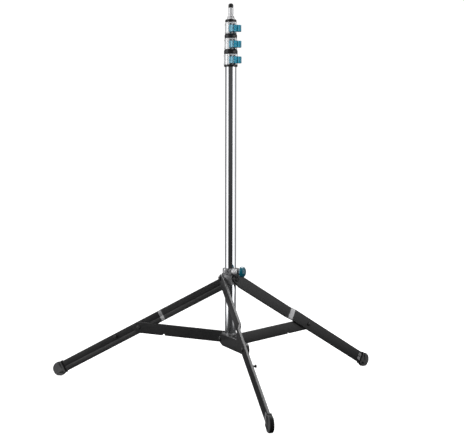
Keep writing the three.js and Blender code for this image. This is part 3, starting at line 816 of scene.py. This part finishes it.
def add_leg(key, azimuth):
    """A bar with its joggle, boot, bolt, catch pin and grey double plate."""
    body = f"leg_{key}"
    matrix = bar_frame(azimuth, PIVOT_REACH, COLLAR_PIVOT_Z, LEG_SLOPE)
    half = LEG_H / 2
    tip = LEG_LENGTH + 2
    start, end = JOGGLE

    def near_face(x):
        t = min(1, max(0, (x - start) / (end - start)))
        return INNER_LAYER + (OUTER_LAYER - INNER_LAYER) * t

    xs = end_stations() + [40, 44, 150, start - 1.5, start, start + 3, end - 1, end, end + 1.5]
    xs += [330, 420, 520, LEG_LENGTH - 40, tip - 1, tip]
    stations = []
    for x in sorted(xs):
        h = end_half_height(x, half)
        seam = SEAM_RISE if 42 < x < LEG_LENGTH + 1 else 0
        near = near_face(x)
        stations.append((x, section(-h, h, near, near + BAR_T, BAR_ROUNDING, SEAM_AT, seam)))
    # the joggle's sloping face takes the painted highlight
    place(f"leg_{key}_black_bar", loft(stations), matrix, BLACK_PAINT, body, [f"leg_{key}_bar"],
          also=[(HIGHLIGHT_STEP, lambda c: start + 3 < c.x < end - 1 and abs(c.y) < half - 1.5)])

    mouth = LEG_LENGTH + MOUTH_AT
    middle = OUTER_LAYER + BAR_T / 2
    wrap = 180 - math.degrees(math.asin(MOUTH_HALF / BOOT_R))
    line = [(x, y, 0) for x, y in arc(LEG_LENGTH, 0, BOOT_R, -wrap, wrap, 72)]
    line += [(mouth + 0.5, MOUTH_HALF, 0), (mouth + 0.5, -MOUTH_HALF, 0)]
    floor_at = [(x, lifted(x, y)) for x, y, _ in line]
    depth = (middle - BOOT_T / 2, middle + BOOT_T / 2)
    sides = rim(*depth, BOOT_ROUNDING)
    ridge = [(0.0, 9), (0.0, 6.6), (0.35, 6.2), (0.35, 5.6), (0.0, 5.2)]
    sides = [(depth[0] + z, d) for z, d in ridge] + sides + [(depth[1] - z, d) for z, d in ridge[::-1]]
    boot = slab(floor_at, sides)
    # the boot's rim takes the painted shade, and its flat faces keep the plain rubber
    place(f"leg_{key}_rubber_boot", boot, matrix, RUBBER, body, [f"leg_{key}_boot"],
          also=[(SHADED_RUBBER, lambda c: abs(c.z - middle) < BOOT_T / 2 - 2)])
    half_lip = MOUTH_HALF + LIP_OUT
    lip = block((mouth - LIP, mouth), (-half_lip, half_lip), depth, 1.2, 1.2)
    # the lip is painted shade, for the dark line at the boot's mouth
    place(f"leg_{key}_boot_lip", lip, matrix, SHADED_RUBBER, body)

    near, far = INNER_LAYER - GAP, OUTER_LAYER + BAR_T + GAP
    inwards = Matrix.Translation((0, 0, near)) @ Matrix.Scale(-1, 4, (0, 0, 1))
    bolt = joined(
        lathe(bolt_head(far, 6.5, 4, 2.4), 48),
        moved(lathe(bolt_head(0, 6.5, 3, 2.4), 48), inwards),
        lathe([(0, near), (4, near), (4, far), (0, far)], 32),
    )
    at_joint = matrix @ Matrix.Translation((JOINT_AT, 0, 0))
    place(f"leg_{key}_joint_bolt", bolt, at_joint, BLACK_STEEL, body, [f"leg_{key}_brace_bolt"])

    tip_at = near - 3.6
    pin = soften([
        (0, tip_at),
        (4, tip_at, 1),
        (5, tip_at + 1, 0.6),
        (5, near, 0.6),
        (3, near, 0.2),
        (3, OUTER_LAYER + BAR_T),
        (0, OUTER_LAYER + BAR_T),
    ], closed=False)
    at_catch = matrix @ Matrix.Translation((JOINT_AT + CATCH_AT[0], CATCH_AT[1], 0))
    place(f"leg_{key}_catch", lathe(pin, 36), at_catch, BLACK_STEEL, body, [f"leg_{key}_catch_pin"])

    x0, x1 = mouth - LIP - PLATE["from"], mouth - LIP - PLATE["to"]
    half_plate, thick, parting = PLATE["half"], PLATE["thick"], PLATE["parting"]
    plates = []
    for rows in ((-half_plate, -parting), (parting, half_plate)):
        plates.append(block((x0, x1), rows, (far, far + thick), 1.6, 0.4))
    base = block((x0 + 0.5, x1 - 0.5), (0.5 - half_plate, half_plate - 0.5), (far, far + 0.5), 1, 0.2)
    place(f"leg_{key}_grey_plate", joined(*plates, base), matrix, PLATE_GREY, body, [f"leg_{key}_plate"],
          also=[(BLACK_PAINT, lambda c: c.z < far + 0.55)])


def lifted(x, y):
    """Height from a leg's centre line, moved up where the point would be under the floor."""
    drop = COLLAR_PIVOT_Z - x * math.sin(LEG_SLOPE) + y * math.cos(LEG_SLOPE)
    return y if drop >= 0 else y - drop / math.cos(LEG_SLOPE)


JOINT_X = PIVOT_REACH + JOINT_AT * math.cos(LEG_SLOPE)
JOINT_Z = COLLAR_PIVOT_Z - JOINT_AT * math.sin(LEG_SLOPE)
BRACE_RUN = JOINT_X - PIVOT_REACH
BRACE_LENGTH = math.hypot(BRACE_RUN, JOINT_Z - HUB_PIVOT_Z)
BRACE_SLOPE = -math.atan2(JOINT_Z - HUB_PIVOT_Z, BRACE_RUN)


def add_brace(key, azimuth):
    """A bar with a notch for the leg's catch pin, and its bolt at the hub."""
    matrix = bar_frame(azimuth, PIVOT_REACH, HUB_PIVOT_Z, BRACE_SLOPE)
    half = BRACE_H / 2
    notch_x = BRACE_LENGTH - CATCH_AT[0]

    def half_height(x):
        if x < BRACE_LENGTH:
            return end_half_height(x, half)
        return math.sqrt(max(0, half**2 - (x - BRACE_LENGTH) ** 2))

    xs = end_stations() + [60, 120, 200, notch_x - NOTCH_R - 0.2, notch_x + NOTCH_R + 0.2]
    xs += [notch_x + NOTCH_R * math.cos(math.radians(15 * k)) for k in range(13)]
    xs += [BRACE_LENGTH + half * math.cos(math.radians(3 + 87 * k / 12)) for k in range(13)]
    stations = []
    for x in sorted(set(round(x, 4) for x in xs)):
        h = half_height(x)
        bite = math.sqrt(max(0, NOTCH_R**2 - (x - notch_x) ** 2))
        stations.append((x, section(-h + bite, h, INNER_LAYER, INNER_LAYER + BAR_T, BAR_ROUNDING, 0, 0)))
    place(f"brace_{key}_bar", loft(stations), matrix, BLACK_PAINT, f"brace_{key}", [f"brace_{key}"])
    bolt = lathe(bolt_head(OUTER_LAYER), 48)
    place(f"brace_{key}_bolt", bolt, matrix, BLACK_STEEL, f"brace_{key}", [f"brace_{key}_hub_bolt"])


def add_collar_bolt(key, azimuth):
    matrix = bar_frame(azimuth, PIVOT_REACH, COLLAR_PIVOT_Z, 0)
    bolt = lathe(bolt_head(OUTER_LAYER), 48)
    place(f"collar_pivot_bolt_{key}", bolt, matrix, BLACK_STEEL, "leg_collar", [f"collar_bolt_{key}"])


for i in range(4):
    add_tube(i)
for i in range(3):
    add_clamp(i)
add_skirt()
add_spigot()
add_hub()
add_collar()
for key, azimuth in LEG_AZIMUTHS.items():
    add_leg(key, azimuth)
    add_brace(key, azimuth)
    add_collar_bolt(key, azimuth)

# CAD nodes that stay as they are: pieces hidden inside the tubes and clamps.
for name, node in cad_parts.items():
    if name.endswith("_bush"):
        kept = BLACK_PLASTIC
    elif name.startswith("t_knob") and name.endswith("_screw"):
        kept = STEEL
    else:
        continue
    node.data.materials.clear()
    node.data.materials.append(kept)


# ---- studio, in metres ----

FLOOR_HALF = 40
FLOOR_GLOW = 0.98
FLOOR_BOUNCE = 0.12
CURTAIN = {"r": 6, "from": -62, "to": 50, "low": -3, "high": 5, "steps": 24}
CURTAIN_GLOW = (0.04, 0.1)  # at the floor, and from CURTAIN_GLOW_RISE up
CURTAIN_GLOW_RISE = 1.5
SHEET_HALF = 1.6
SHEET_Z = 0.0004
SHEET_GLOW = 0.06
SHEET_FADE = (0.75, 1.15)
BACKDROP = (1.05, 1.05, 1.05, 1)
AMBIENT = (0.25, 0.25, 0.253, 1)


def grey(level):
    return (level, level, level, 1)


def square(half, z):
    return [(-half, -half, z), (half, -half, z), (half, half, z), (-half, half, z)], [(0, 1, 2, 3)]


def add_stage():
    """A pale floor that the camera sees lit up and the stand sees as dim."""
    points, faces = square(FLOOR_HALF, 0)
    floor = bpy.data.meshes.new("floor")
    floor.from_pydata(points, [], faces)
    material = bpy.data.materials.new("floor")
    material.use_nodes = True
    nodes, links = material.node_tree.nodes, material.node_tree.links
    shader = nodes["Principled BSDF"]
    shader.inputs["Base Color"].default_value = grey(0.35)
    shader.inputs["Roughness"].default_value = 0.9
    shader.inputs["Specular IOR Level"].default_value = 0
    shader.inputs["Emission Color"].default_value = grey(1)
    shader.inputs["Emission Strength"].default_value = FLOOR_GLOW
    dim = nodes.new("ShaderNodeBsdfDiffuse")
    dim.inputs["Color"].default_value = grey(FLOOR_BOUNCE)
    path = nodes.new("ShaderNodeLightPath")
    mix = nodes.new("ShaderNodeMixShader")
    links.new(path.outputs["Is Camera Ray"], mix.inputs["Fac"])
    links.new(dim.outputs["BSDF"], mix.inputs[1])
    links.new(shader.outputs["BSDF"], mix.inputs[2])
    links.new(mix.outputs["Shader"], nodes["Material Output"].inputs["Surface"])
    floor.materials.append(material)
    obj = bpy.data.objects.new("floor", floor)
    bpy.context.scene.collection.objects.link(obj)
    obj.visible_glossy = False


CAMERA_AZIMUTH = -13.57
CAMERA_DISTANCE = 3.687
CAMERA_HEIGHT = 0.7446
CAMERA_TILT = 3.183
CAMERA_ROLL = 0.08
CAMERA_ASIDE = 0.0044
FOCAL_MM = 91.3
SENSOR_MM = 36


def add_camera():
    data = bpy.data.cameras.new("camera")
    data.sensor_width = SENSOR_MM
    data.lens = FOCAL_MM
    camera = bpy.data.objects.new("camera", data)
    bpy.context.scene.collection.objects.link(camera)
    turn = Matrix.Rotation(math.radians(CAMERA_AZIMUTH), 4, "Z")
    foot = MAST.translation
    camera.location = foot + turn @ Vector((CAMERA_ASIDE, -CAMERA_DISTANCE, CAMERA_HEIGHT))
    tilt = Matrix.Rotation(math.radians(90 - CAMERA_TILT), 4, "X")
    camera.rotation_euler = (turn @ tilt @ Matrix.Rotation(math.radians(CAMERA_ROLL), 4, "Z")).to_euler()
    bpy.context.scene.camera = camera


def add_softbox(name, azimuth, height, distance, width, tall, radiance, aim=None, glossy=True):
    """A rectangular light of a given radiance, facing the mast level, or a height on it if aim is given."""
    data = bpy.data.lights.new(name, "AREA")
    data.shape = "RECTANGLE"
    data.size, data.size_y = width, tall
    data.energy = radiance * math.pi * width * tall
    lamp = bpy.data.objects.new(name, data)
    bpy.context.scene.collection.objects.link(lamp)
    out = heading(CAMERA_AZIMUTH + azimuth)
    lamp.location = MAST.translation + out * distance + UP * height
    towards = -out if aim is None else UP * (aim - height) - out * distance
    lamp.rotation_euler = towards.to_track_quat("-Z", "Y").to_euler()
    lamp.visible_camera = False
    lamp.visible_glossy = glossy


def add_card(name, mesh, shade):
    """A surface that only shows in reflections. shade(nodes, links, coords) returns its shader output."""
    data = bpy.data.meshes.new(name)
    data.from_pydata(mesh[0], [], mesh[1])
    material = bpy.data.materials.new(name)
    material.use_nodes = True
    nodes, links = material.node_tree.nodes, material.node_tree.links
    nodes.remove(nodes["Principled BSDF"])
    coords = nodes.new("ShaderNodeTexCoord")
    links.new(shade(nodes, links, coords), nodes["Material Output"].inputs["Surface"])
    data.materials.append(material)
    obj = bpy.data.objects.new(name, data)
    bpy.context.scene.collection.objects.link(obj)
    obj.location = MAST.translation
    obj.visible_camera = False
    obj.visible_diffuse = False
    obj.visible_shadow = False


def add_dark_curtain():
    """Stands behind the camera and is a little lighter towards its top."""
    steps = CURTAIN["steps"]
    points, faces = [], []
    for k in range(steps + 1):
        azimuth = CURTAIN["from"] + (CURTAIN["to"] - CURTAIN["from"]) * k / steps
        out = heading(CAMERA_AZIMUTH + azimuth) * CURTAIN["r"]
        points += [(out.x, out.y, CURTAIN["low"]), (out.x, out.y, CURTAIN["high"])]
    for k in range(steps):
        faces.append((2 * k, 2 * k + 2, 2 * k + 3, 2 * k + 1))

    def shade(nodes, links, coords):
        split = nodes.new("ShaderNodeSeparateXYZ")
        links.new(coords.outputs["Object"], split.inputs["Vector"])
        glow = nodes.new("ShaderNodeEmission")
        strength = ramp_between(nodes, links, split.outputs["Z"], 0, CURTAIN_GLOW_RISE, *CURTAIN_GLOW)
        links.new(strength, glow.inputs["Strength"])
        return glow.outputs["Emission"]

    add_card("curtain", (points, faces), shade)


def add_dark_sheet():
    """Lies under the stand, fading out round it."""

    def shade(nodes, links, coords):
        length = nodes.new("ShaderNodeVectorMath")
        length.operation = "LENGTH"
        links.new(coords.outputs["Object"], length.inputs[0])
        glow = nodes.new("ShaderNodeEmission")
        glow.inputs["Strength"].default_value = SHEET_GLOW
        mix = nodes.new("ShaderNodeMixShader")
        links.new(ramp_between(nodes, links, length.outputs["Value"], *SHEET_FADE), mix.inputs["Fac"])
        links.new(glow.outputs["Emission"], mix.inputs[1])
        links.new(nodes.new("ShaderNodeBsdfTransparent").outputs["BSDF"], mix.inputs[2])
        return mix.outputs["Shader"]

    add_card("dark_sheet", square(SHEET_HALF, SHEET_Z), shade)


def add_world():
    """White behind everything for the camera, dim for everything else."""
    world = bpy.data.worlds.new("studio")
    bpy.context.scene.world = world
    world.use_nodes = True
    nodes, links = world.node_tree.nodes, world.node_tree.links
    background = nodes["Background"]
    path = nodes.new("ShaderNodeLightPath")
    mix = nodes.new("ShaderNodeMix")
    mix.data_type = "RGBA"
    mix.inputs["A"].default_value = AMBIENT
    mix.inputs["B"].default_value = BACKDROP
    links.new(path.outputs["Is Camera Ray"], mix.inputs["Factor"])
    links.new(mix.outputs["Result"], background.inputs["Color"])


add_stage()
add_camera()
add_world()
add_dark_curtain()
add_dark_sheet()
# Azimuths are from the camera's.
add_softbox("left_softbox", azimuth=-72, height=0.8, distance=3, width=2.24, tall=4.4, radiance=1.8)
add_softbox("right_softbox", azimuth=61, height=0.8, distance=3, width=1.9, tall=4.4, radiance=1.9)
add_softbox("right_panel", azimuth=93, height=1.38, distance=3, width=1.5, tall=3.26, radiance=0.75)
add_softbox("top_softbox", azimuth=180, height=3, distance=1.4, width=2.6, tall=2, radiance=6, aim=0.2)
add_softbox("front_fill", azimuth=-45, height=1.9, distance=4.2, width=3, tall=3, radiance=3.7, aim=0.6,
            glossy=False)
bpy.context.scene.view_settings.view_transform = "Standard"
